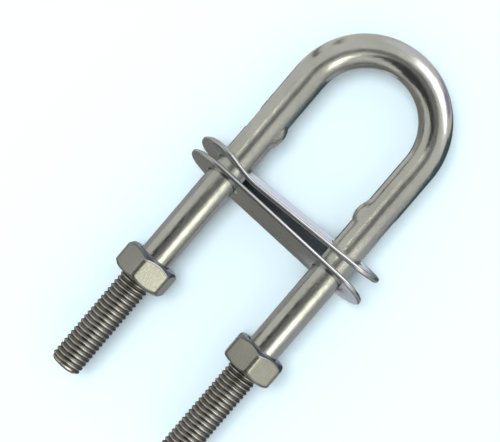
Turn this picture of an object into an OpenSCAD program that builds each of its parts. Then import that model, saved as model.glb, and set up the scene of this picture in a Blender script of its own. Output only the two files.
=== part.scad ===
// Pad eye: a U-bolt with stops swaged on its legs, a deck plate and a backing
// plate that slide on the legs, and a hex nut on each threaded leg end.
// X runs from the left leg to the right leg, +Z points from the threaded ends
// towards the eye, and Z = 0 is the deck's surface, midway between the legs.

/* [Rod] */
// Diameter of the rod (M10)
rod_d = 10; // [10:0.05:10.1]
// Distance between the centrelines of the two legs
leg_spacing = 41; // [38:0.5:50]
// Height of the centre of the bend above the deck
bend_centre_z = 33.9; // [28:0.1:80]

/* [Thread] */
// Height of the leg ends, below the deck
leg_end_z = -76.2; // [-90:0.2:-66]
// Outer diameter of the bare thread
thread_d = 9.85; // [9.8:0.01:9.96]
// Diameter of the thread inside the nut, drawn smooth
engaged_thread_d = 9.4; // [9.1:0.05:9.5]
// Chamfer at the end of each leg
tip_chamfer = 0.9; // [0.5:0.1:1.5]

/* [Stops] */
// Height of the middle of the swaged ears
ear_centre_z = 14.1; // [13:0.1:24]
// Length of an ear along the leg
ear_len = 7.8; // [5:0.2:9]
// How far an ear stands proud of the rod
ear_proud = 1; // [0.6:0.1:1.3]
// Thickness of an ear's outer edge, front to back
ear_t = 2; // [1:0.1:4]

/* [Plates] */
// Length of each plate, tip to tip
plate_len = 65.4; // [63:0.2:80]
// Width of each plate
plate_w = 20; // [18:0.5:22]
// Thickness of each plate
plate_t = 1.5; // [1:0.1:1.6]
// Diameter of the leg holes in the plates
plate_hole_d = 11.2; // [11.2:0.1:11.6]
// Height of the deck plate's centre at rest
upper_plate_z = 0.75; // [0.75:0.05:2]
// Height of the backing plate's centre at rest
lower_plate_z = -5.8; // [-12:0.1:-5.7]
// Lean of the loose deck plate about X, its front edge down
upper_plate_lean = 4.7; // [0:0.1:5]
// Lean of the loose backing plate about X, its front edge up
lower_plate_lean = 13; // [0:0.1:13]
// Tip of the deck plate about Y, its right end up
upper_plate_tip = 1.4; // [0:0.1:1.6]
// Tip of the backing plate about Y, its right end down
lower_plate_tip = 2.1; // [0:0.1:2.2]
// Both plates lie this far to the right of the legs' middle, within the holes' slack
plate_shift = 0.3; // [-0.3:0.1:0.3]

/* [Nuts] */
// Height of the nuts' bearing faces, below the deck
nut_seat_z = -35.2; // [-40:0.1:-30]
// Nut size across its flats
nut_across_flats = 16; // [15.9:0.05:17]
// Nut height
nut_h = 8.4; // [8:0.1:8.4]
// Diameter of the round faces left by the nut's chamfers
nut_face_d = 15.5; // [14.5:0.1:15.8]
// Angle of the nut's chamfers from its faces
nut_chamfer_angle = 40; // [25:1:45]
// Diameter of the nut's bore, drawn smooth
nut_bore_d = 10; // [9.95:0.01:10.05]
// How far the left nut is turned about its leg
left_nut_turn = 17.5; // [0:0.5:59]
// How far the right nut is turned about its leg
right_nut_turn = 27; // [0:0.5:59]

/* [Hidden] */
$fn = 96;
STEEL = [0.70, 0.70, 0.66];
PLATE_STEEL = [0.74, 0.75, 0.76];
NUT_STEEL = [0.76, 0.76, 0.68];
half_spacing = leg_spacing / 2;
rod_r = rod_d / 2;
thread_r = thread_d / 2;
engaged_r = engaged_thread_d / 2;
nut_bore_r = nut_bore_d / 2;
nut_corner_r = nut_across_flats / 2 / cos(30);
nut_base_z = nut_seat_z - nut_h;
// the bare thread's cylinder stops just short of the nut
thread_gap = 0.3;
// the thread runs out into the full rod just inside the nut's top face
run_out = 0.3;
// depth and width of the 45 degree countersinks in the nut's bore
countersink = 0.5;
// the cutting shapes pass this far beyond what they cut
past = 1;

// Outline of half a leg, revolved about the leg's own axis
module leg_outline() {
    polygon([
        [0, leg_end_z],
        [thread_r - tip_chamfer, leg_end_z],
        [thread_r, leg_end_z + tip_chamfer],
        [thread_r, nut_base_z - thread_gap],
        [engaged_r, nut_base_z],
        [engaged_r, nut_seat_z - run_out - (rod_r - engaged_r)],
        [rod_r, nut_seat_z - run_out],
        [rod_r, bend_centre_z],
        [0, bend_centre_z],
    ]);
}

// Side view of an ear: a disc's edge that stands proud of the leg's inner side
module ear_outline() {
    ear_r = (pow(ear_len / 2, 2) + pow(ear_proud, 2)) / (2 * ear_proud);
    intersection() {
        translate([rod_r + ear_proud - ear_r, 0]) circle(r = ear_r);
        translate([0, -ear_len / 2]) square([rod_d, ear_len]);
    }
}

// The ear that a press squeezes out of a leg's inner side, wedge shaped seen from above
module ear() {
    foot = rod_r * sqrt(0.5);
    out = rod_r + ear_proud;
    intersection() {
        rotate([90, 0, 0]) linear_extrude(rod_d, center = true) ear_outline();
        linear_extrude(ear_len, center = true)
            polygon([[0, -foot], [foot, -foot], [out, -ear_t / 2], [out, ear_t / 2], [foot, foot], [0, foot]]);
    }
}

module u_bolt() {
    color(STEEL) {
        for (side = [-1, 1])
            translate([side * half_spacing, 0, 0]) {
                rotate_extrude() leg_outline();
                translate([0, 0, ear_centre_z]) mirror([max(side, 0), 0, 0]) ear();
            }
        translate([0, 0, bend_centre_z]) rotate([90, 0, 0])
            rotate_extrude(angle = 180) translate([half_spacing, 0]) circle(r = rod_r);
    }
}

// A flat plate with round ends and a clearance hole for each leg
module slotted_outline() {
    end_x = (plate_len - plate_w) / 2;
    difference() {
        union() {
            square([2 * end_x, plate_w], center = true);
            for (side = [-1, 1]) translate([side * end_x, 0]) circle(d = plate_w);
        }
        for (side = [-1, 1]) translate([side * half_spacing, 0]) circle(d = plate_hole_d);
    }
}

module plate(z, lean, tip) {
    translate([plate_shift, 0, z]) rotate([lean, tip, 0]) translate([0, 0, -plate_t / 2])
        linear_extrude(plate_t) slotted_outline();
}

module upper_plate() {
    color(PLATE_STEEL) plate(upper_plate_z, upper_plate_lean, -upper_plate_tip);
}

module lower_plate() {
    color(PLATE_STEEL) plate(lower_plate_z, -lower_plate_lean, lower_plate_tip);
}

// Round blank with both chamfers, which the hexagon is cut from
module nut_blank() {
    face_r = nut_face_d / 2;
    drop = (nut_corner_r + past - face_r) * tan(nut_chamfer_angle);
    rotate_extrude()
        polygon([
            [0, 0], [face_r, 0], [nut_corner_r + past, drop],
            [nut_corner_r + past, nut_h - drop], [face_r, nut_h], [0, nut_h],
        ]);
}

// The bore, with a countersink at each face
module nut_bore() {
    mouth = nut_bore_r + countersink + past;
    rotate_extrude()
        polygon([
            [0, -past], [mouth, -past], [nut_bore_r, countersink],
            [nut_bore_r, nut_h - countersink], [mouth, nut_h + past], [0, nut_h + past],
        ]);
}

module nut(side, turn) {
    translate([side * half_spacing, 0, nut_base_z]) difference() {
        intersection() {
            rotate([0, 0, turn]) cylinder(r = nut_corner_r, h = nut_h, $fn = 6);
            nut_blank();
        }
        nut_bore();
    }
}

module left_nut() {
    color(NUT_STEEL) nut(-1, left_nut_turn);
}

module right_nut() {
    color(NUT_STEEL) nut(1, right_nut_turn);
}

u_bolt();
upper_plate();
lower_plate();
left_nut();
right_nut();
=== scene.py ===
"""Pad eye: a stainless U-bolt with swaged ears and rolled threads, two plates and two hex nuts.

Every piece is built in metres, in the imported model's own frame: X runs from the left leg to
the right leg, +Z points towards the eye, and Y = 0 is the plane of both legs.
"""

import logging
import math
from dataclasses import dataclass, field
from enum import Enum
from typing import Any, Iterable, Optional, Sequence

import bmesh
import bpy
from mathutils import Matrix, Vector, noise


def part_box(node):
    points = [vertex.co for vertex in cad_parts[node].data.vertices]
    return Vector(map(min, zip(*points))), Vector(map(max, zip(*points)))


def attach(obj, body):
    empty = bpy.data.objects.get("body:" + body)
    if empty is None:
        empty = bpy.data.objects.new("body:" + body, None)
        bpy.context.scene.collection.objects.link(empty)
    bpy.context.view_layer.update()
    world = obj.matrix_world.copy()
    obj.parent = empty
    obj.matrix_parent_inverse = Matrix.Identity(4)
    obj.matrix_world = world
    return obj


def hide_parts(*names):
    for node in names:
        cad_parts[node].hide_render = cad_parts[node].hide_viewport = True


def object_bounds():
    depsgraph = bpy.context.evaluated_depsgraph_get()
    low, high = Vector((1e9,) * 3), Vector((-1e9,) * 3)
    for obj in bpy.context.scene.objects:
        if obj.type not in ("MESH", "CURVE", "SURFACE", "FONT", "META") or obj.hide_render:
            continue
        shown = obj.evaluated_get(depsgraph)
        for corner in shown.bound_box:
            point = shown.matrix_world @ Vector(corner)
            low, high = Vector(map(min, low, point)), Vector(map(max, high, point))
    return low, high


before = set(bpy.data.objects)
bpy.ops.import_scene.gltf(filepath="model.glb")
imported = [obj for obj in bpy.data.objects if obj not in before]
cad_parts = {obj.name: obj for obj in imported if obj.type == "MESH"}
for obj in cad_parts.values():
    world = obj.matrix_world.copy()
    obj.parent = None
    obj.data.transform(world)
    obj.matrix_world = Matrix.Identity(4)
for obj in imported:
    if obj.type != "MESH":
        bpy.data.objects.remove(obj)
CAD_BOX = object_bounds()

LOG = logging.getLogger("pad_eye")
MM = 0.001
FULL_TURN = 2 * math.pi
# distances in metres below which points count as touching, and as one and the same
TOUCHING = 1e-6
SAME = 1e-7
# the band that a noise node's output mostly keeps to
NOISE_BAND = {"From Min": 0.3, "From Max": 0.7}


class Side(Enum):
    """The two legs, by the sign of their X."""

    LEFT = -1
    RIGHT = 1


def linear(hex_colour: str) -> tuple[float, float, float, float]:
    """Turns an sRGB hex colour to linear light.

    Args:
        hex_colour: six hex digits, with or without a leading #.

    Returns:
        Red, green, blue and an alpha of 1.
    """
    digits = hex_colour.lstrip("#")
    parts = [int(digits[i:i + 2], 16) / 255 for i in (0, 2, 4)]
    levels = [c / 12.92 if c <= 0.04045 else ((c + 0.055) / 1.055) ** 2.4 for c in parts]
    return (levels[0], levels[1], levels[2], 1.0)


def smooth_step(value: float, start: float, end: float) -> float:
    """Rises smoothly from 0 at start to 1 at end.

    Args:
        value: where on the ramp.
        start: value at which the ramp leaves 0.
        end: value at which the ramp reaches 1.

    Returns:
        The height of the ramp, from 0 to 1.
    """
    t = min(1.0, max(0.0, (value - start) / (end - start)))
    return t * t * (3 - 2 * t)


def add_node(
    tree: bpy.types.NodeTree,
    kind: str,
    settings: Optional[dict[str, Any]] = None,
    values: Optional[dict[Any, Any]] = None,
    links: Optional[dict[Any, bpy.types.NodeSocket]] = None,
) -> bpy.types.Node:
    """Adds one node with its settings, its constants and what it is linked from.

    Args:
        tree: node tree that the node joins.
        kind: type name of the node.
        settings: attribute values, by name.
        values: constants for input sockets, by name or number.
        links: sources for input sockets, by name or number.

    Returns:
        The new node.
    """
    node = tree.nodes.new(kind)
    for name, value in (settings or {}).items():
        setattr(node, name, value)
    for socket, value in (values or {}).items():
        node.inputs[socket].default_value = value
    for socket, source in (links or {}).items():
        tree.links.new(source, node.inputs[socket])
    return node


def bare_material(name: str) -> bpy.types.Material:
    """Makes a material whose node tree is still empty.

    Args:
        name: name of the material.

    Returns:
        The new material.
    """
    made = bpy.data.materials.new(name)
    made.use_nodes = True
    made.node_tree.nodes.clear()
    return made


def settle(bm: bmesh.types.BMesh, name: str) -> bpy.types.Mesh:
    """Writes a bmesh to a new mesh and frees it.

    Args:
        bm: the finished bmesh.
        name: name of the mesh.

    Returns:
        The new mesh.
    """
    mesh = bpy.data.meshes.new(name)
    bm.to_mesh(mesh)
    bm.free()
    return mesh


def put_in_scene(name: str, data: bpy.types.ID) -> bpy.types.Object:
    """Makes an object and links it to the scene.

    Args:
        name: name of the object.
        data: its mesh, lamp or camera.

    Returns:
        The new object.
    """
    made = bpy.data.objects.new(name, data)
    bpy.context.scene.collection.objects.link(made)
    return made


def whole(bm: bmesh.types.BMesh) -> list[Any]:
    """Lists all of a mesh: its vertices, edges and faces."""
    return [*bm.verts, *bm.edges, *bm.faces]


def only(kind: type, geometry: Iterable[Any]) -> list[Any]:
    """Keeps the vertices, edges or faces from what an operator gives back.

    Args:
        kind: bmesh class to keep.
        geometry: what the operator gave.

    Returns:
        The items of that class, in the same order.
    """
    return [item for item in geometry if isinstance(item, kind)]


def circle(
    bm: bmesh.types.BMesh, radius: float, segments: int, place: Matrix
) -> list[bmesh.types.BMEdge]:
    """Adds a bare ring of edges.

    Args:
        bm: mesh that the ring joins.
        radius: radius of the ring, in metres.
        segments: number of edges.
        place: where the ring's own XY plane goes.

    Returns:
        The ring's edges.
    """
    made = bmesh.ops.create_circle(
        bm, cap_ends=False, segments=segments, radius=radius, matrix=place,
    )
    return list(dict.fromkeys(edge for vert in made["verts"] for edge in vert.link_edges))


def pull(
    bm: bmesh.types.BMesh, edges: Iterable[bmesh.types.BMEdge], step: Vector
) -> list[bmesh.types.BMEdge]:
    """Extrudes a ring of edges and moves the new ring.

    Args:
        bm: mesh that the edges belong to.
        edges: ring to extrude.
        step: how far the new ring moves.

    Returns:
        The new ring's edges.
    """
    made = bmesh.ops.extrude_edge_only(bm, edges=list(edges))["geom"]
    bmesh.ops.translate(bm, verts=only(bmesh.types.BMVert, made), vec=step)
    return only(bmesh.types.BMEdge, made)


def ring_verts(edges: Iterable[bmesh.types.BMEdge]) -> list[bmesh.types.BMVert]:
    """Lists the vertices of a ring of edges, each once."""
    return list(dict.fromkeys(vert for edge in edges for vert in edge.verts))


def finish_piece(
    bm: bmesh.types.BMesh, name: str, finish: "Steel", body: str, smooth_angle: float
) -> bpy.types.Object:
    """Turns a finished bmesh into a dressed piece that rides on its CAD body.

    Args:
        bm: the finished mesh, which is freed.
        name: name of the piece.
        finish: the steel that dresses it.
        body: CAD body that it rides on, and CAD node that it stands for.
        smooth_angle: edges sharper than this many degrees stay crisp.

    Returns:
        The new object.
    """
    for face in bm.faces:
        face.smooth = True
    for edge in bm.edges:
        edge.smooth = edge.calc_face_angle(0.0) < math.radians(smooth_angle)
    mesh = settle(bm, name)
    mesh.materials.append(finish.material())
    piece = put_in_scene(name, mesh)
    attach(piece, body)
    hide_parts(body)
    LOG.info("%s: %d faces", name, len(mesh.polygons))
    return piece


@dataclass(frozen=True)
class Steel:
    """A procedural stainless steel: tinted grey metal with fine working marks.

    The marks are noise stretched along U of the piece's own UV map, whose unit is a metre.
    """

    name: str
    light: str
    dark: str
    roughness: tuple[float, float]
    mark_spacing: float
    mark_length: float
    mark_depth: float
    wave_size: float
    wave_depth: float

    def material(self) -> bpy.types.Material:
        """Builds the material once, however many pieces ask for it.

        Returns:
            The material of this name.
        """
        made = bpy.data.materials.get(self.name)
        if made is None:
            made = bare_material(self.name)
            self._wire(made.node_tree)
        return made

    def _wire(self, tree: bpy.types.NodeTree) -> None:
        """Lays the nodes for tint, roughness and relief.

        Args:
            tree: the material's empty node tree.
        """
        spot = add_node(tree, "ShaderNodeTexCoord")
        # one unit of noise spans one mark across and one mark's length along
        stretch = add_node(
            tree, "ShaderNodeMapping",
            values={"Scale": (1 / self.mark_length, 1 / self.mark_spacing, 1)},
            links={"Vector": spot.outputs["UV"]},
        )
        marks = add_node(
            tree, "ShaderNodeTexNoise", values={"Scale": 1.0, "Detail": 3.0, "Roughness": 0.6},
            links={"Vector": stretch.outputs["Vector"]},
        )
        # slow unevenness of the surface, which bends the long reflections a little
        wave = add_node(
            tree, "ShaderNodeTexNoise",
            values={"Scale": 1 / self.wave_size, "Detail": 1.5, "Roughness": 0.45},
            links={"Vector": spot.outputs["Object"]},
        )
        # the tint drifts about three times more slowly than the waves
        stain = add_node(
            tree, "ShaderNodeTexNoise",
            values={"Scale": 0.35 / self.wave_size, "Detail": 4.0, "Roughness": 0.55},
            links={"Vector": spot.outputs["Object"]},
        )
        tone = add_node(
            tree, "ShaderNodeMapRange", values={**NOISE_BAND, "To Min": 0.0, "To Max": 1.0},
            links={"Value": stain.outputs["Fac"]},
        )
        tint = add_node(
            tree, "ShaderNodeMix", settings={"data_type": "RGBA"},
            values={6: linear(self.dark), 7: linear(self.light)},
            links={0: tone.outputs["Result"]},
        )
        low, high = self.roughness
        rough = add_node(
            tree, "ShaderNodeMapRange", values={**NOISE_BAND, "To Min": low, "To Max": high},
            links={"Value": marks.outputs["Fac"]},
        )
        waves = add_node(
            tree, "ShaderNodeBump", values={"Strength": 1.0, "Distance": self.wave_depth},
            links={"Height": wave.outputs["Fac"]},
        )
        relief = add_node(
            tree, "ShaderNodeBump", values={"Strength": 1.0, "Distance": self.mark_depth},
            links={"Height": marks.outputs["Fac"], "Normal": waves.outputs["Normal"]},
        )
        metal = add_node(
            tree, "ShaderNodeBsdfPrincipled", values={"Metallic": 1.0},
            links={
                "Base Color": tint.outputs[2],
                "Roughness": rough.outputs["Result"],
                "Normal": relief.outputs["Normal"],
            },
        )
        add_node(tree, "ShaderNodeOutputMaterial", links={"Surface": metal.outputs["BSDF"]})


# 316 bar, polished lengthwise on a belt: fine lines along the rod draw the reflections into
# streaks; here and below, the marks are drawn coarser than real ones, so that they show
POLISHED_BAR = Steel(
    name="polished_316_bar", light="D8D9D1", dark="C4C5BD", roughness=(0.10, 0.22),
    mark_spacing=0.42 * MM, mark_length=2.4 * MM, mark_depth=0.04 * MM,
    wave_size=5 * MM, wave_depth=0.05 * MM,
)
# crests of the rolled thread: burnished by the rolls, so they catch the light in bars
THREAD_CREST = Steel(
    name="rolled_316_crest", light="D6D6CE", dark="C2C1B9", roughness=(0.16, 0.26),
    mark_spacing=0.35 * MM, mark_length=4 * MM, mark_depth=0.003 * MM,
    wave_size=4 * MM, wave_depth=0.006 * MM,
)
# flanks and roots of the thread: duller, and darker in colour as painted shade, so the grooves
# stay dark between the bars
THREAD_ROOT = Steel(
    name="rolled_316_root", light="8E8B84", dark="76736C", roughness=(0.30, 0.40),
    mark_spacing=0.35 * MM, mark_length=4 * MM, mark_depth=0.003 * MM,
    wave_size=4 * MM, wave_depth=0.006 * MM,
)
# cold rolled 316 sheet, blanked and tumbled: a satin flat with soft bright edges
TUMBLED_SHEET = Steel(
    name="tumbled_316_sheet", light="D3D4D4", dark="C4C5C5", roughness=(0.20, 0.30),
    mark_spacing=0.30 * MM, mark_length=9 * MM, mark_depth=0.0022 * MM,
    wave_size=9 * MM, wave_depth=0.012 * MM,
)
# cold formed A2 nut, pickled and tumbled: bright faces with a faint straw tint
FORMED_NUT = Steel(
    name="cold_formed_a2_nut", light="B4B4AA", dark="A4A49A", roughness=(0.24, 0.33),
    mark_spacing=0.40 * MM, mark_length=1.2 * MM, mark_depth=0.005 * MM,
    wave_size=4 * MM, wave_depth=0.02 * MM,
)
# the nut's upper face and chamfer in a darker blue-grey: painted shade, a dark cap above the bright
# faces
NUT_CAP = Steel(
    name="scaled_nut_cap", light="848A92", dark="72787F", roughness=(0.24, 0.33),
    mark_spacing=0.40 * MM, mark_length=1.2 * MM, mark_depth=0.005 * MM,
    wave_size=4 * MM, wave_depth=0.02 * MM,
)


def middle(node: str) -> Vector:
    """Gives the middle of a CAD node's box at rest, in metres."""
    low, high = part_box(node)
    return (low + high) / 2


@dataclass
class Thread:
    """A right-hand rolled thread, M10 x 1.5, made once round its own axis for both legs."""

    pitch: float = 1.5 * MM
    crest_radius: float = 4.925 * MM
    depth: float = 0.48 * MM
    steps_per_turn: int = 48
    tip_chamfer: float = 0.9 * MM
    run_out: float = 2.2 * MM
    # the run-out is over this far below the thread's upper end
    run_out_gap: float = 0.1 * MM

    def profile(self) -> list[tuple[float, float]]:
        """Gives one pitch of the thread's outline, root to root.

        Returns:
            Pairs of height above the pitch's start and distance from the axis, in metres.
        """
        root = self.crest_radius - self.depth
        # height as a share of the pitch, rise as a share of the depth: rounded roots and crests
        outline = [
            (0.0, 0.0), (0.07, 0.03), (0.13, 0.14), (0.36, 0.84), (0.42, 0.97), (0.50, 1.0),
            (0.58, 0.97), (0.64, 0.84), (0.87, 0.14), (0.93, 0.03), (1.0, 0.0),
        ]
        return [(share * self.pitch, root + rise * self.depth) for share, rise in outline]

    def build(self, low: float, high: float, shank_radius: float) -> bpy.types.Mesh:
        """Makes the threaded end of a leg round the Z axis, closed at its tip and open at its top.

        Args:
            low: height of the leg's end.
            high: height of the thread's upper end, where its roots have risen to the full rod.
            shank_radius: radius that the thread fades out to.

        Returns:
            A mesh of its own, which both legs copy.
        """
        bm = bmesh.new()
        verts = [
            bm.verts.new((radius, 0, low - self.pitch + height))
            for height, radius in self.profile()
        ]
        edges = [bm.edges.new(pair) for pair in zip(verts, verts[1:])]
        bmesh.ops.spin(
            bm, geom=verts + edges, cent=(0, 0, 0), axis=(0, 0, 1), angle=FULL_TURN,
            dvec=(0, 0, self.pitch / self.steps_per_turn), steps=self.steps_per_turn,
            use_merge=False, use_normal_flip=False, use_duplicate=False,
        )
        # one turn is doubled until the turns reach past the top
        turns = 1
        while low + (turns - 2) * self.pitch < high:
            made = bmesh.ops.duplicate(bm, geom=whole(bm))["geom"]
            copies = only(bmesh.types.BMVert, made)
            bmesh.ops.translate(bm, verts=copies, vec=(0, 0, turns * self.pitch))
            turns *= 2
        bmesh.ops.remove_doubles(bm, verts=list(bm.verts), dist=TOUCHING)
        for height, normal in ((low, (0, 0, -1)), (high, (0, 0, 1))):
            bmesh.ops.bisect_plane(
                bm, geom=whole(bm), dist=SAME,
                plane_co=(0, 0, height), plane_no=normal, clear_outer=True,
            )
        for vert in bm.verts:
            radius = math.hypot(vert.co.x, vert.co.y)
            limit = self.crest_radius - self.tip_chamfer + (vert.co.z - low)
            fade = smooth_step(vert.co.z, high - self.run_out, high - self.run_out_gap)
            wanted = min(radius + (shank_radius - radius) * fade, limit)
            vert.co.x *= wanted / radius
            vert.co.y *= wanted / radius
        rim = [e for e in bm.edges if all(abs(v.co.z - low) < TOUCHING for v in e.verts)]
        bmesh.ops.holes_fill(bm, edges=rim, sides=0)
        return settle(bm, "thread")


@dataclass
class Ears:
    """The swaged ears: a press squeezes a wedge of metal out of each leg's inner side."""

    proud: float = 0.97 * MM
    length: float = 7.8 * MM
    # how much fuller an ear is towards one end, and what that makes its greatest height
    skew: float = 0.35
    fullest: float = 1.03
    # the wedge across the rod, in degrees round it: its edge, its foot and how full its sides are
    tip_angle: float = 11.0
    foot_angle: float = 46.0
    side_power: float = 0.8
    print_depth: float = 0.12 * MM
    # the torn grain: its size along the rod, its size round it in degrees, and its depth
    grain: float = 0.5 * MM
    grain_angle: float = 12.0
    grain_depth: float = 0.035 * MM
    flank_flat: float = 0.22 * MM
    flank_angle: float = 22.0
    # shares of half an ear over which the grain and the flat fade in from its ends
    grain_fade: float = 0.1
    flat_fade: float = 0.25

    def shift(self, height: float, angle: float, side: Side) -> float:
        """Says how far the press moves a point of the rod's skin.

        Args:
            height: height above the middle of the ears, in metres.
            angle: angle round the leg from its inner side, in degrees, from -180 to 180.
            side: which leg.

        Returns:
            The outward move in metres, negative where the press sinks a flat.
        """
        half = self.length / 2
        share = abs(height) / half
        if share >= 1:
            return 0.0
        # the left leg's ear swells towards its lower end and the right leg's towards its upper end
        skew = self.skew * side.value * height / half
        swell = (1 - share ** 2) * (1 - skew) / self.fullest
        turn = abs(angle)
        if turn < self.foot_angle:
            rise = 1 - smooth_step(turn, self.tip_angle, self.foot_angle) ** self.side_power
            spot = Vector((angle / self.grain_angle, height / self.grain, side.value))
            rough = self.grain_depth * noise.noise(spot)
            edge = smooth_step(1 - share, 0.0, self.grain_fade)
            wedge = min(self.proud, self.proud * swell * rise + rough * edge)
            return wedge - self.print_depth * edge * (1 - rise) * rise
        # the anvil leaves a shallow flat on the outer side
        outer = 180 - turn
        flat = max(0.0, 1 - (outer / self.flank_angle) ** 2)
        return -self.flank_flat * flat * smooth_step(1 - share, 0.0, self.flat_fade)


@dataclass
class UBolt:
    """The bent rod: two straight legs, a round bend, ears below the bend and rolled threads."""

    node: str = "u_bolt"
    slot: str = "rod_steel"
    rod_radius: float = 5.0 * MM
    ring_segments: int = 96
    bend_steps: int = 96
    ear_height: float = 14.1 * MM
    # the rings lie this close over the ears and this far past them
    ear_ring_step: float = 0.25 * MM
    ear_margin: float = 1.0 * MM
    # the thread ends this far inside the nut, and the smooth shank starts as far above that
    thread_gap: float = 0.3 * MM
    # the outer share of the thread's depth that the rolls burnish; the rest of the depth gets the
    # painted shade of the roots
    crest_share: float = 0.25
    smooth_angle: float = 50.0
    ears: Ears = field(default_factory=Ears)
    thread: Thread = field(default_factory=Thread)

    def __post_init__(self) -> None:
        """Takes the main heights from the CAD model."""
        self.low, self.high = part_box(self.node)[0].z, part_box(self.node)[1].z
        self.leg_x = middle("right_nut").x
        self.bend_z = self.high - self.rod_radius - self.leg_x
        self.thread_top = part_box("left_nut")[1].z - self.thread_gap

    def build(self) -> list[bpy.types.Object]:
        """Makes the rod and dresses it.

        Returns:
            The one piece, in a list.
        """
        bm = bmesh.new()
        rings = self._rod(bm)
        thread = self.thread.build(self.low, self.thread_top, self.rod_radius)
        for side, ring in zip(Side, rings):
            known = len(bm.verts)
            bm.from_mesh(thread)
            bm.verts.ensure_lookup_table()
            leg = Vector((side.value * self.leg_x, 0, 0))
            bmesh.ops.translate(bm, verts=bm.verts[known:], vec=leg)
            rim = [
                e for e in bm.edges
                if e.is_boundary and e not in ring and self._ends_thread(e, side)
            ]
            bmesh.ops.bridge_loops(bm, edges=list(ring) + rim)
        bmesh.ops.remove_doubles(bm, verts=list(bm.verts), dist=SAME)
        bmesh.ops.recalc_face_normals(bm, faces=list(bm.faces))
        self._press(bm)
        self._map(bm)
        piece = finish_piece(
            bm, "bolt_rod", POLISHED_BAR, self.node, self.smooth_angle,
        )
        self._dress_thread(piece.data)
        return [piece]

    def _ends_thread(self, edge: bmesh.types.BMEdge, side: Side) -> bool:
        """Says whether an edge lies on the upper end of one leg's thread.

        Args:
            edge: an edge of the mesh.
            side: which leg.

        Returns:
            True if both of its ends are there.
        """
        return all(
            abs(vert.co.z - self.thread_top) < TOUCHING and vert.co.x * side.value > 0
            for vert in edge.verts
        )

    def _dress_thread(self, mesh: bpy.types.Mesh) -> None:
        """Gives the thread's crests one steel and its flanks and roots another, darker one: painted
        shade in the grooves.

        Args:
            mesh: mesh of the whole rod.
        """
        for finish in (THREAD_CREST, THREAD_ROOT):
            mesh.materials.append(finish.material())
        crest_edge = self.thread.crest_radius - self.crest_share * self.thread.depth
        for face in mesh.polygons:
            if face.center.z < self.thread_top:
                radius = math.hypot(abs(face.center.x) - self.leg_x, face.center.y)
                tip = face.center.z < self.low + self.thread.tip_chamfer
                # the flanks and roots take the darker steel, which is painted shade in the grooves
                face.material_index = 1 if radius > crest_edge or tip else 2

    def _rod(self, bm: bmesh.types.BMesh) -> list[list[bmesh.types.BMEdge]]:
        """Sweeps the smooth rod up one leg, round the bend and down the other.

        Args:
            bm: empty mesh.

        Returns:
            The open ring at the foot of the left leg's shank, then the right one's.
        """
        foot = self.thread_top + self.thread_gap
        place = Matrix.Translation((-self.leg_x, 0, foot))
        first = circle(bm, self.rod_radius, self.ring_segments, place)
        span = self.ears.length / 2 + self.ear_margin
        stops = [foot, self.ear_height - span]
        count = round(2 * span / self.ear_ring_step)
        stops += [stops[-1] + 2 * span * i / count for i in range(1, count + 1)]
        stops.append(self.bend_z)
        ring = first
        for low, high in zip(stops, stops[1:]):
            ring = pull(bm, ring, Vector((0, 0, high - low)))
        made = bmesh.ops.spin(
            bm, geom=ring_verts(ring) + list(ring), cent=(0, 0, self.bend_z), axis=(0, 1, 0),
            angle=math.pi, steps=self.bend_steps, use_merge=False, use_duplicate=False,
        )
        ring = only(bmesh.types.BMEdge, made["geom_last"])
        for high, low in zip(stops[::-1], stops[-2::-1]):
            ring = pull(bm, ring, Vector((0, 0, low - high)))
        return [list(first), list(ring)]

    def _press(self, bm: bmesh.types.BMesh) -> None:
        """Squeezes the ears out of both legs.

        Args:
            bm: mesh of the whole rod.
        """
        reach = self.ears.length / 2
        for vert in bm.verts:
            height = vert.co.z - self.ear_height
            if abs(height) > reach:
                continue
            side = Side.LEFT if vert.co.x < 0 else Side.RIGHT
            arm = Vector((vert.co.x - side.value * self.leg_x, vert.co.y, 0))
            angle = math.degrees(math.atan2(arm.y, -side.value * arm.x))
            vert.co += arm.normalized() * self.ears.shift(height, angle, side)

    def _map(self, bm: bmesh.types.BMesh) -> None:
        """Lays a UV map in metres: U runs along the rod, V round it.

        Args:
            bm: mesh of the whole rod.
        """
        layer = bm.loops.layers.uv.new("rod")
        for face in bm.faces:
            spots = [self._spot(loop.vert.co) for loop in face.loops]
            widest = max(v for _, v in spots)
            for loop, (u, v) in zip(face.loops, spots):
                # the seam runs down the inner side of the legs
                round_rod = v + FULL_TURN if widest - v > math.pi else v
                loop[layer].uv = (u, round_rod * self.rod_radius)

    def _spot(self, point: Vector) -> tuple[float, float]:
        """Says where a point lies on the rod.

        Args:
            point: a point of the rod's skin.

        Returns:
            The distance along the rod's axis in metres, and the angle round it in radians.
        """
        if point.z > self.bend_z:
            arm = math.hypot(point.x, point.z - self.bend_z)
            along = (math.pi / 2 - math.atan2(point.z - self.bend_z, point.x)) * self.leg_x
            return along, math.atan2(point.y, arm - self.leg_x)
        sign = 1 if point.x > 0 else -1
        along = sign * (math.pi / 2 * self.leg_x + self.bend_z - point.z)
        return along, math.atan2(point.y, abs(point.x) - self.leg_x)


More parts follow.
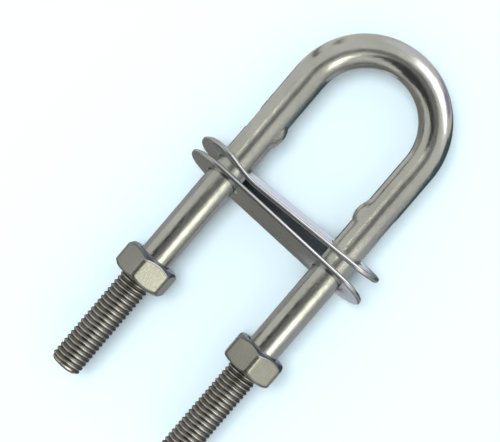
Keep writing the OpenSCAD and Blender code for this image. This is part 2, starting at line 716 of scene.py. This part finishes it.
@dataclass
class Plate:
    """A loose plate with round ends and two leg holes, tumbled so that its edges are soft."""

    node: str
    lean: float
    tip: float
    length: float = 65.4 * MM
    width: float = 20 * MM
    thickness: float = 1.5 * MM
    hole: float = 11.2 * MM
    # a rim edge this close to a hole's wall belongs to the hole
    hole_margin: float = 0.1 * MM
    hole_spacing: float = 41 * MM
    end_twist: float = 0.0
    edge_radius: float = 0.66 * MM
    hole_edge_radius: float = 0.25 * MM
    edge_segments: int = 7
    end_segments: int = 64
    # the twist grows between these distances from the middle, over cuts this far apart
    twist_from: float = 12 * MM
    twist_to: float = 31 * MM
    twist_cut: float = 1 * MM
    # edges sharper than these many degrees are rims, and stay crisp
    rim_angle: float = 60.0
    smooth_angle: float = 40.0
    slot: str = "plate_steel"

    def build(self) -> list[bpy.types.Object]:
        """Makes the plate where it lies at rest.

        Returns:
            The one piece, in a list.
        """
        bm = bmesh.new()
        # the circle is turned half a step, so that no vertex lies where its halves part
        half_step = Matrix.Rotation(math.pi / self.end_segments, 4, "Z")
        outline = circle(bm, self.width / 2, self.end_segments, half_step)
        for vert in ring_verts(outline):
            vert.co.x += math.copysign((self.length - self.width) / 2, vert.co.x)
        rings = list(outline)
        for side in Side:
            centre = Matrix.Translation((side.value * self.hole_spacing / 2, 0, 0))
            rings += circle(bm, self.hole / 2, self.end_segments, centre)
        bmesh.ops.triangle_fill(bm, edges=rings, use_beauty=True, normal=(0, 0, 1))
        bmesh.ops.translate(bm, verts=list(bm.verts), vec=(0, 0, -self.thickness / 2))
        made = bmesh.ops.extrude_face_region(bm, geom=list(bm.faces))["geom"]
        top = only(bmesh.types.BMVert, made)
        bmesh.ops.translate(bm, verts=top, vec=(0, 0, self.thickness))
        bmesh.ops.recalc_face_normals(bm, faces=list(bm.faces))
        rims = [e for e in bm.edges if e.calc_face_angle(0.0) > math.radians(self.rim_angle)]
        inner = [e for e in rims if self._on_hole(e)]
        outer = [e for e in rims if not self._on_hole(e)]
        for edges, radius in ((outer, self.edge_radius), (inner, self.hole_edge_radius)):
            bmesh.ops.bevel(
                bm, geom=edges, offset=radius, offset_type="OFFSET", affect="EDGES",
                segments=self.edge_segments, profile=0.5, material=-1, clamp_overlap=True,
            )
        if self.end_twist:
            self._twist(bm)
        self._map(bm)
        tip = Matrix.Rotation(math.radians(self.tip), 4, "Y")
        lean = Matrix.Rotation(math.radians(self.lean), 4, "X")
        place = Matrix.Translation(middle(self.node)) @ (tip @ lean)
        bmesh.ops.transform(bm, matrix=place, verts=list(bm.verts))
        name = self.node + "_sheet"
        return [
            finish_piece(bm, name, TUMBLED_SHEET, self.node, self.smooth_angle),
        ]

    def _on_hole(self, edge: bmesh.types.BMEdge) -> bool:
        """Says whether a rim edge belongs to one of the two holes.

        Args:
            edge: an edge of the plate's rims.

        Returns:
            True if its middle lies on a hole's wall.
        """
        spot = (edge.verts[0].co + edge.verts[1].co) / 2
        arm = math.hypot(abs(spot.x) - self.hole_spacing / 2, spot.y)
        return arm < self.hole / 2 + self.hole_margin

    def _twist(self, bm: bmesh.types.BMesh) -> None:
        """Twists the left end about the plate's long axis.

        Args:
            bm: mesh of the plate, still flat and centred.
        """
        for step in range(int((self.twist_to - self.twist_from) / self.twist_cut) + 1):
            cut = -self.twist_from - step * self.twist_cut
            bmesh.ops.bisect_plane(
                bm, geom=whole(bm), dist=SAME, plane_co=(cut, 0, 0), plane_no=(1, 0, 0),
            )
        for vert in bm.verts:
            bent = self.end_twist * smooth_step(-vert.co.x, self.twist_from, self.twist_to)
            vert.co = Matrix.Rotation(math.radians(bent), 3, "X") @ vert.co

    def _map(self, bm: bmesh.types.BMesh) -> None:
        """Lays a UV map in metres: U along the plate, V across it and down its edges.

        Args:
            bm: mesh of the plate, still flat and centred.
        """
        layer = bm.loops.layers.uv.new("sheet")
        for face in bm.faces:
            for loop in face.loops:
                loop[layer].uv = (loop.vert.co.x, loop.vert.co.y + loop.vert.co.z)


@dataclass
class Nut:
    """A cold formed M10 hex nut, chamfered on both faces, with a smooth bore round the thread."""

    side: Side
    turn: float
    across_flats: float = 16 * MM
    height: float = 8.4 * MM
    face_diameter: float = 14.8 * MM
    chamfer_angle: float = 38.0
    corner_radius: float = 1.0 * MM
    corner_segments: int = 6
    bore_radius: float = 5.0 * MM
    countersink: float = 0.5 * MM
    flat_cuts: int = 14
    edge_radius: float = 0.42 * MM
    edge_segments: int = 3
    # edges sharper than this many degrees are softened, and stay crisp
    edge_angle: float = 22.0
    # faces that look up by more than this share belong to the cap of painted shade
    cap_share: float = 0.5
    slot: str = "nut_steel"

    @property
    def node(self) -> str:
        """The CAD node that the nut stands for."""
        return self.side.name.lower() + "_nut"

    def build(self) -> list[bpy.types.Object]:
        """Makes the nut where it sits on its leg.

        Returns:
            The one piece, in a list.
        """
        bm = bmesh.new()
        corner = self.across_flats / 2 / math.cos(math.pi / 6)
        place = Matrix.Rotation(math.radians(self.turn + 30), 4, "Z")
        ring = circle(bm, corner, 6, place)
        bmesh.ops.bevel(
            bm, geom=ring_verts(ring), offset=self.corner_radius, offset_type="OFFSET",
            affect="VERTICES", segments=self.corner_segments, profile=0.5, material=-1,
        )
        # the flats are cut up, so that the chamfer can draw an arc on each
        flats = [e for e in bm.edges if e.calc_length() > self.across_flats / 4]
        bmesh.ops.subdivide_edges(bm, edges=flats, cuts=self.flat_cuts)
        lower = list(bm.edges)
        upper = pull(bm, lower, Vector((0, 0, self.height)))
        self._chamfer(lower, 0.0, 1)
        self._chamfer(upper, self.height, -1)
        for ring, level in ((lower, 0.0), (upper, self.height)):
            self._close(bm, ring, level)
        bmesh.ops.remove_doubles(bm, verts=list(bm.verts), dist=SAME)
        bmesh.ops.recalc_face_normals(bm, faces=list(bm.faces))
        self._map(bm)
        seat = middle(self.node)
        seat.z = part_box(self.node)[0].z
        bmesh.ops.translate(bm, verts=list(bm.verts), vec=seat)
        piece = finish_piece(
            bm, self.node + "_hex", FORMED_NUT, self.node, self.edge_angle,
        )
        piece.data.materials.append(NUT_CAP.material())
        # painted shade: the faces that look up take the dark cap steel
        for face in piece.data.polygons:
            if face.normal.z > self.cap_share:
                face.material_index = 1
        soft = piece.modifiers.new("soft_edges", "BEVEL")
        soft.width = self.edge_radius
        soft.segments = self.edge_segments
        soft.limit_method = "ANGLE"
        soft.angle_limit = math.radians(self.edge_angle)
        soft.harden_normals = False
        return [piece]

    def _chamfer(self, ring: Sequence[bmesh.types.BMEdge], level: float, sense: int) -> None:
        """Draws a rim of the hexagon back along the chamfer's cone.

        Args:
            ring: the rim's edges.
            level: height of the nut's face.
            sense: 1 if the nut lies above that face, -1 if it lies below.
        """
        slope = math.tan(math.radians(self.chamfer_angle))
        for vert in ring_verts(ring):
            beyond = max(0.0, math.hypot(vert.co.x, vert.co.y) - self.face_diameter / 2)
            vert.co.z = level + sense * beyond * slope

    def _close(
        self, bm: bmesh.types.BMesh, ring: Sequence[bmesh.types.BMEdge], level: float
    ) -> None:
        """Adds the chamfer's cone, the face, the countersink and half of the bore.

        Args:
            bm: mesh of the nut.
            ring: the chamfered rim of the hexagon.
            level: height of the nut's face.
        """
        middle_z = self.height / 2
        inward = math.copysign(self.countersink, middle_z - level)
        stops = (
            (self.face_diameter / 2, level),
            (self.bore_radius + self.countersink, level),
            (self.bore_radius, level + inward),
            (self.bore_radius, middle_z),
        )
        for radius, height in stops:
            ring = pull(bm, ring, Vector((0, 0, 0)))
            for vert in ring_verts(ring):
                vert.co.xy *= radius / math.hypot(vert.co.x, vert.co.y)
                vert.co.z = height

    def _map(self, bm: bmesh.types.BMesh) -> None:
        """Lays a UV map in metres: U up the flats and out over the faces, V round the nut.

        Args:
            bm: mesh of the nut, centred on its axis.
        """
        layer = bm.loops.layers.uv.new("hex")
        for face in bm.faces:
            middle_point = face.calc_center_median()
            turn = math.atan2(middle_point.y, middle_point.x)
            for loop in face.loops:
                point = Matrix.Rotation(-turn, 3, "Z") @ loop.vert.co
                loop[layer].uv = (point.z + point.x, point.y + turn * self.across_flats / 2)


@dataclass(frozen=True)
class Card:
    """A glowing or dark card of the studio, a patch of a ball round the object.

    Azimuth 0 is the camera's side and grows towards +X; elevation is above the level of the object.
    """

    name: str
    azimuth: tuple[float, float]
    elevation: tuple[float, float]
    colour: str
    strength: float
    distance: float = 1.5
    rows: int = 12
    columns: int = 24

    def build(self) -> None:
        """Bends the card round the object and gives it its glow."""
        bm = bmesh.new()
        (west, east), (bottom, top) = self.azimuth, self.elevation
        centre = (0, 0, 0)
        seed = bm.verts.new((0, -self.distance, 0))
        down = Matrix.Rotation(-math.radians(bottom), 3, "X")
        bmesh.ops.rotate(bm, verts=[seed], cent=centre, matrix=down)
        bmesh.ops.spin(
            bm, geom=[seed], cent=centre, axis=(1, 0, 0), angle=-math.radians(top - bottom),
            steps=self.rows, use_duplicate=False,
        )
        aside = Matrix.Rotation(math.radians(west), 3, "Z")
        bmesh.ops.rotate(bm, verts=list(bm.verts), cent=centre, matrix=aside)
        bmesh.ops.spin(
            bm, geom=list(bm.verts) + list(bm.edges), cent=centre, axis=(0, 0, 1),
            angle=math.radians(east - west), steps=self.columns, use_duplicate=False,
        )
        mesh = settle(bm, self.name)
        glow = bare_material(self.name)
        lamp = add_node(
            glow.node_tree, "ShaderNodeEmission",
            values={"Color": linear(self.colour), "Strength": self.strength},
        )
        add_node(
            glow.node_tree, "ShaderNodeOutputMaterial",
            links={"Surface": lamp.outputs["Emission"]},
        )
        mesh.materials.append(glow)
        card = put_in_scene(self.name, mesh)
        card.visible_camera = False
        card.visible_diffuse = False
        card.visible_shadow = False


@dataclass
class Studio:
    """A pale surface just behind the fitting, soft boxes, dark cards and the camera."""

    surface_gap: float = 0.15 * MM
    surface_size: float = 6.0
    pale: str = "F8FDFF"
    paper: str = "DCF0F9"
    cards: tuple[Card, ...] = (
        Card("key_softbox", (4, 60), (30, 68), "FFFFFF", 2.2, 1.3),
        Card("key_glow", (2, 80), (22, 76), "FAFAFF", 0.80, 1.35),
        Card("ceiling_card", (-180, 180), (64, 89), "F2F2FF", 0.80, 1.6),
        Card("strip_softbox", (27, 53), (-14, -2.5), "FFFFEE", 2.4, 1.3),
        Card("strip_side_card", (53, 67), (-16, -2), "FFFFF4", 0.95, 1.3),
        Card("left_dark_card", (-40, -12), (-88, -1.0), "FFFFFF", 0.06),
        Card("camera_card", (-15, 13), (-88, 12), "FFFFFF", 0.20),
        Card("low_dark_card", (-24, 30), (-88, -20), "FFFFFF", 0.05, 1.4),
        Card("right_grey_card", (67, 170), (-88, 4), "F4F6FF", 0.42),
        Card("right_dark_card", (106, 171.4), (2.5, 36), "C8F0FF", 0.12, 1.4),
        Card("near_right_dark_card", (84, 108), (6, 34), "C8F0FF", 0.12, 1.4),
        Card("upper_violet_card", (66, 150), (46, 62), "DCD2FF", 0.46, 1.3),
        Card("left_line_card", (-135, -72), (17, 22), "FFFFFF", 0.12),
        Card("left_high_line_card", (-120, -70), (34, 39), "FFFFFF", 0.20),
        Card("left_low_card", (-178, -92), (-88, -0.5), "F6F8FF", 0.38),
        Card("small_strip", (-38, -29), (0.3, 3.6), "FFFFE8", 2.0, 1.4),
        Card("back_pale_card", (171.5, 184), (8, 34), "E2EAFA", 1.2),
        Card("back_dark_card", (164, 214), (-3, 7.5), "E8F0FF", 0.08, 1.35),
        Card("back_low_card", (112, 181), (-88, -13), "FFFFF4", 0.19, 1.4),
        Card("right_end_card", (160, 172.8), (-42, -12), "E8F0FF", 0.80, 1.35),
        Card("back_low_left_card", (181, 250), (-88, -13), "FFFFF4", 0.22, 1.4),
    )
    room: str = "FEFEFB"
    room_strength: float = 0.61
    surface_light: float = 0.80
    lamp_power: float = 9.0
    lamp_distance: float = 1.2
    lamp_size: float = 0.5
    lamp_azimuth: float = -14.0
    # painted shade: where the surface is closed in, it darkens to this colour: how far it feels for
    # walls, and the open shares at which it is fully dark and at which it is pale
    closed: str = "404449"
    closed_reach: float = 18 * MM
    dark_share: float = 0.10
    pale_share: float = 0.42
    azimuth: float = -1.76
    elevation: float = 1.8
    roll: float = 40.57
    distance: float = 350.1 * MM
    lens: float = 87.1
    aim: tuple[float, float, float] = (-6.64 * MM, 0.0, -9.29 * MM)

    def build(self) -> None:
        """Sets up the surface, the surroundings and the camera."""
        bpy.context.scene.view_settings.view_transform = "Standard"
        self._surface()
        self._world()
        self._lamp()
        for card in self.cards:
            card.build()
        self._camera()

    def _surface(self) -> None:
        """Hangs the pale surface, with painted shade where the plates close over it.

        From behind it is clear, so the fitting's back stays in sight.
        """
        bm = bmesh.new()
        bmesh.ops.create_grid(bm, x_segments=1, y_segments=1, size=self.surface_size / 2)
        upright = Matrix.Rotation(math.pi / 2, 3, "X")
        bmesh.ops.rotate(bm, verts=list(bm.verts), cent=(0, 0, 0), matrix=upright)
        back = (0, CAD_BOX[1].y + self.surface_gap, 0)
        bmesh.ops.translate(bm, verts=list(bm.verts), vec=back)
        mesh = settle(bm, "pale_surface")
        paper = bare_material("plain_pale_paper")
        tree = paper.node_tree
        # matt white paper: an even pale ground, with painted shade from an ambient occlusion node
        # where the two plates close over it
        hidden = add_node(
            tree, "ShaderNodeAmbientOcclusion", values={"Distance": self.closed_reach},
        )
        open_share = add_node(
            tree, "ShaderNodeMapRange",
            values={
                "From Min": self.dark_share, "From Max": self.pale_share,
                "To Min": 0.0, "To Max": 1.0,
            },
            links={"Value": hidden.outputs["AO"]},
        )
        # painted shade: the paper's colour goes dark where the ambient occlusion finds it closed in
        tint = add_node(
            tree, "ShaderNodeMix", settings={"data_type": "RGBA"},
            values={6: linear(self.closed), 7: linear(self.paper)},
            links={0: open_share.outputs["Result"]},
        )
        matt = add_node(tree, "ShaderNodeBsdfDiffuse", links={"Color": tint.outputs[2]})
        clear = add_node(tree, "ShaderNodeBsdfTransparent")
        side = add_node(tree, "ShaderNodeNewGeometry")
        both = add_node(
            tree, "ShaderNodeMixShader",
            links={
                0: side.outputs["Backfacing"], 1: matt.outputs["BSDF"], 2: clear.outputs["BSDF"],
            },
        )
        add_node(tree, "ShaderNodeOutputMaterial", links={"Surface": both.outputs["Shader"]})
        mesh.materials.append(paper)
        surface = put_in_scene("pale_surface", mesh)
        surface.visible_glossy = False

    def _lamp(self) -> None:
        """Hangs a wide lamp in front, a little to the left, for the matt surface only."""
        data = bpy.data.lights.new("front_lamp", "AREA")
        data.energy = self.lamp_power
        data.size = self.lamp_size
        lamp = put_in_scene("front_lamp", data)
        aside = Matrix.Rotation(math.radians(self.lamp_azimuth), 4, "Z")
        level = Matrix.Rotation(math.pi / 2, 4, "X")
        lamp.matrix_world = aside @ level @ Matrix.Translation((0, 0, self.lamp_distance))
        lamp.visible_glossy = False

    def _world(self) -> None:
        """Fills the room with even grey light, and shows plain pale where nothing stands."""
        world = bpy.data.worlds.new("studio")
        bpy.context.scene.world = world
        world.use_nodes = True
        tree = world.node_tree
        tree.nodes.clear()
        path = add_node(tree, "ShaderNodeLightPath")
        room = add_node(
            tree, "ShaderNodeBackground",
            values={"Color": linear(self.room), "Strength": self.room_strength},
        )
        # matt surfaces get more light than the steel mirrors, which keeps the surface pale
        bounce = add_node(
            tree, "ShaderNodeBackground",
            values={"Color": linear("FFFFFF"), "Strength": self.surface_light},
        )
        seen = add_node(
            tree, "ShaderNodeBackground", values={"Color": linear(self.pale), "Strength": 1.0},
        )
        lit = add_node(
            tree, "ShaderNodeMixShader",
            links={
                0: path.outputs["Is Diffuse Ray"],
                1: room.outputs["Background"], 2: bounce.outputs["Background"],
            },
        )
        both = add_node(
            tree, "ShaderNodeMixShader",
            links={
                0: path.outputs["Is Camera Ray"],
                1: lit.outputs["Shader"], 2: seen.outputs["Background"],
            },
        )
        add_node(tree, "ShaderNodeOutputWorld", links={"Surface": both.outputs["Shader"]})

    def _camera(self) -> None:
        """Stands the camera in front of the fitting, rolled so that the eye points up and right."""
        azimuth, elevation = math.radians(self.azimuth), math.radians(self.elevation)
        back = Vector((
            math.sin(azimuth) * math.cos(elevation),
            -math.cos(azimuth) * math.cos(elevation),
            math.sin(elevation),
        ))
        level = back.to_track_quat("Z", "Y").to_matrix()
        turn = level @ Matrix.Rotation(math.radians(self.roll), 3, "Z")
        data = bpy.data.cameras.new("camera")
        data.lens = self.lens
        data.sensor_width = 36.0
        data.clip_start = 0.01
        camera = put_in_scene("camera", data)
        stand = Matrix.Translation(Vector(self.aim) + back * self.distance)
        camera.matrix_world = stand @ turn.to_4x4()
        bpy.context.scene.camera = camera


def main() -> None:
    """Builds the fitting and the studio."""
    logging.basicConfig(level=logging.INFO, format="%(name)s: %(message)s")
    Studio().build()
    assemblies = [
        UBolt(),
        Plate("upper_plate", lean=4.7, tip=-1.4, end_twist=-20.0),
        Plate("lower_plate", lean=-13.0, tip=2.1),
        Nut(Side.LEFT, turn=17.5),
        Nut(Side.RIGHT, turn=27.0),
    ]
    for assembly in assemblies:
        for piece in assembly.build():
            LOG.info("%s stands for %s", piece.name, assembly.node)


if __name__ == "__main__":
    main()
